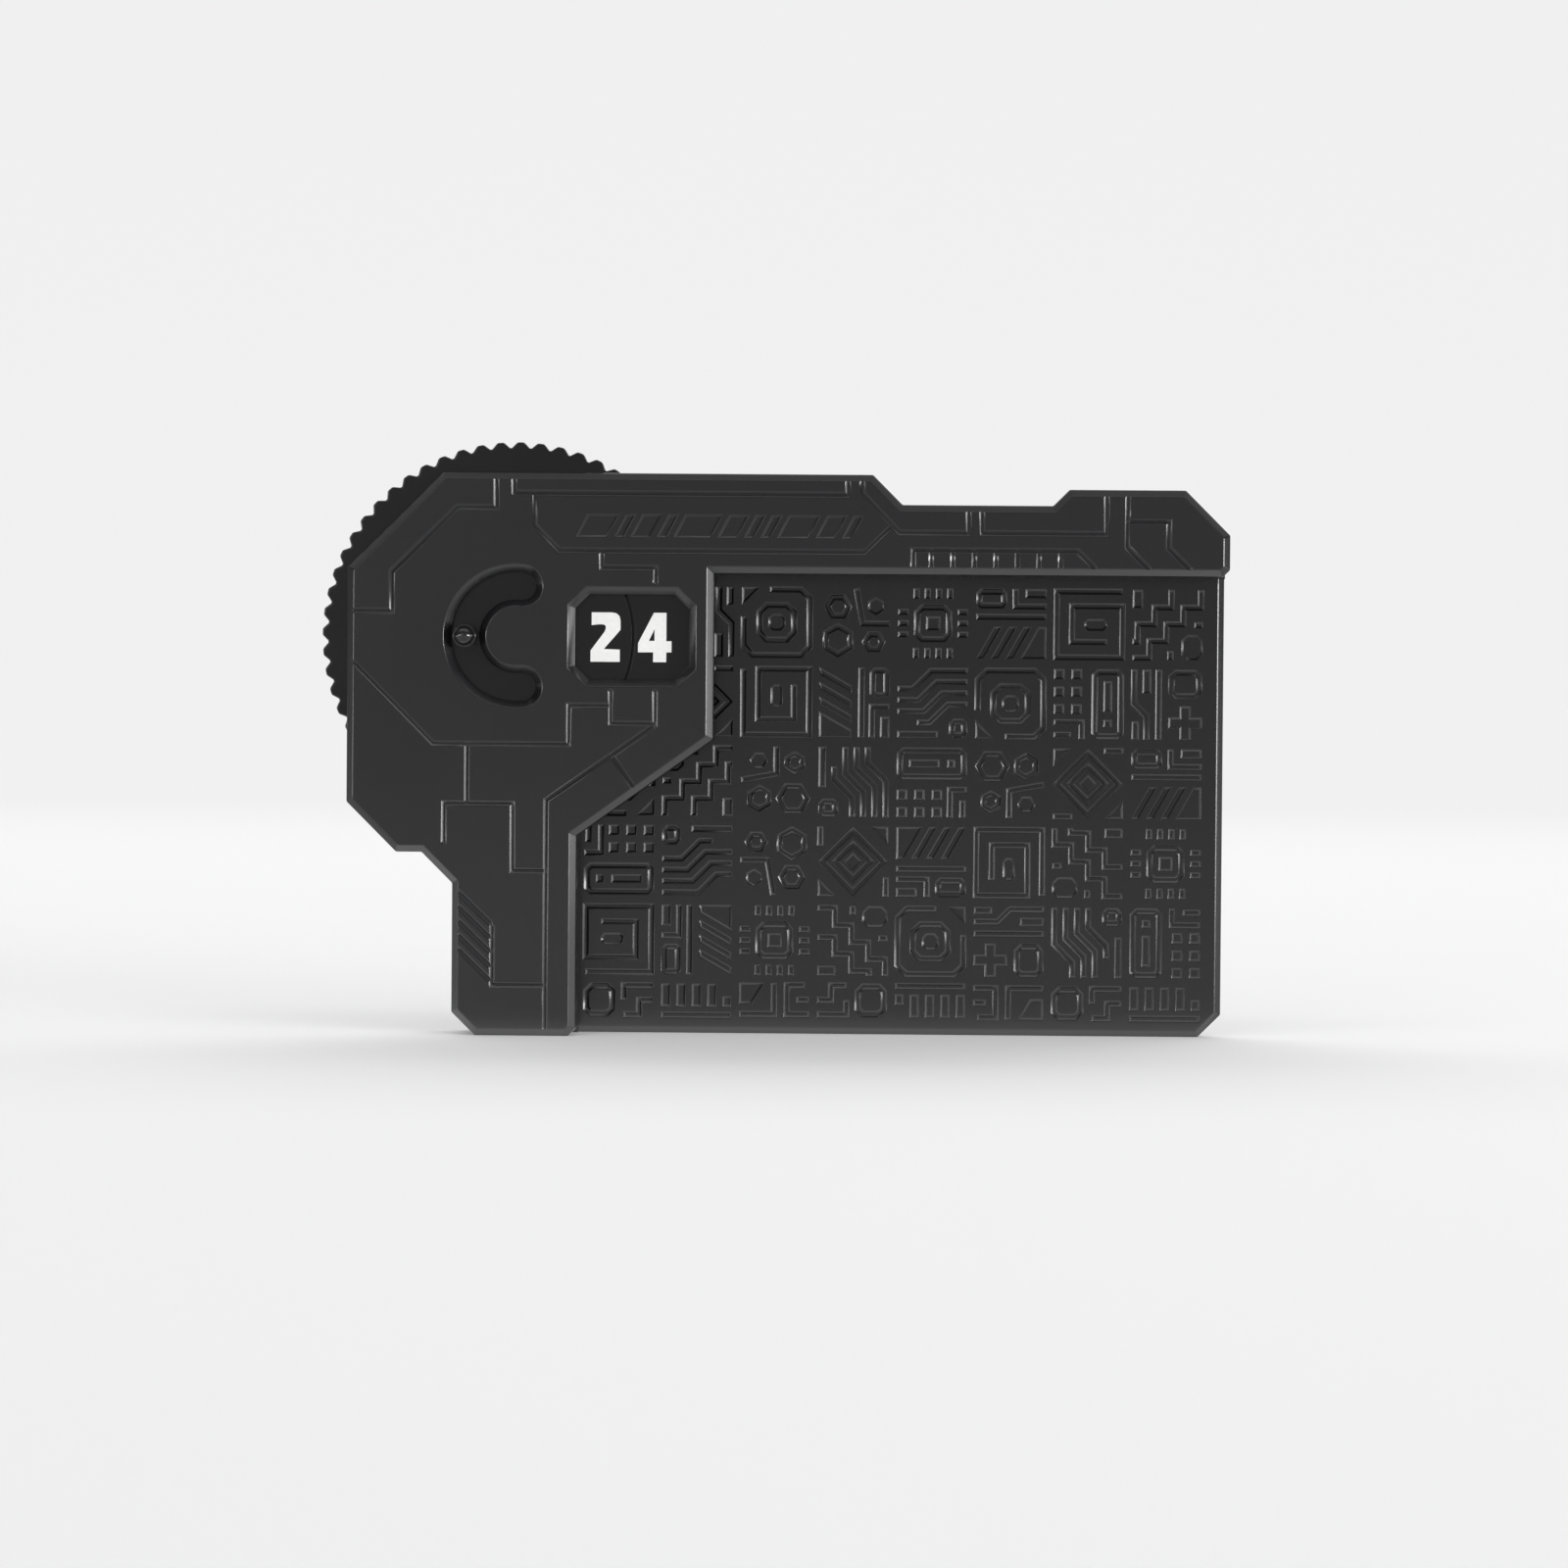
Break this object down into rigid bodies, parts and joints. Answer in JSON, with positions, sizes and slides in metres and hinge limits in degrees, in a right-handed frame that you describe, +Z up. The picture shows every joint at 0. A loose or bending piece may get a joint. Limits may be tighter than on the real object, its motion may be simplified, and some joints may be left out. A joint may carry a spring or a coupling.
{
  "type": "damage counter pad",
  "caption": "Black card pad with an open bed for one sleeved card and a dial counter: a toothed units dial and a tens disc with a peg show a number in a window",
  "frame": {"origin": "middle of the footprint, on the surface that the pad stands on", "axes": "+Z up the pad, +X to the right along the bar as seen from the front, -Y out of the front face"},
  "size_m": [0.128, 0.012, 0.0838],
  "materials": {
    "cover": "black moulded plastic with a fine satin grain",
    "plate": "black moulded plastic with a fine satin grain",
    "carrier": "dark grey moulded plastic",
    "dial": "black moulded plastic with white printed numbers",
    "peg": "polished black plastic",
    "spring_steel": "bent spring strip",
    "screw_steel": "plain turned steel",
    "foot": "black rubber"
  },
  "bodies": {
    "housing": {"front_cover": "cover", "card_plate": "plate", "dial_carrier": "carrier", "dial_axle": "screw_steel", "units_detent_spring": "spring_steel", "tens_detent_spring": "spring_steel", "carrier_screw_1": "screw_steel", "carrier_screw_2": "screw_steel", "carrier_screw_3": "screw_steel", "cover_screw_1": "screw_steel", "cover_screw_2": "screw_steel", "cover_screw_3": "screw_steel", "cover_screw_4": "screw_steel", "cover_screw_5": "screw_steel", "rubber_foot_1": "foot", "rubber_foot_2": "foot", "rubber_foot_3": "foot", "rubber_foot_4": "foot"},
    "units": {"units_dial": "dial"},
    "tens": {"tens_dial": "dial", "selector_peg": "peg"}
  },
  "joints": [
    {"name": "units_turn", "type": "hinge", "parent": "housing", "child": "units", "pos_m": [-0.03658, 0, 0.0564], "axis": [0, -1, 0], "continuous": true},
    {"name": "tens_turn", "type": "hinge", "parent": "housing", "child": "tens", "pos_m": [-0.03658, 0, 0.0564], "axis": [0, -1, 0], "range_deg": [-96, 96]}
  ]
}
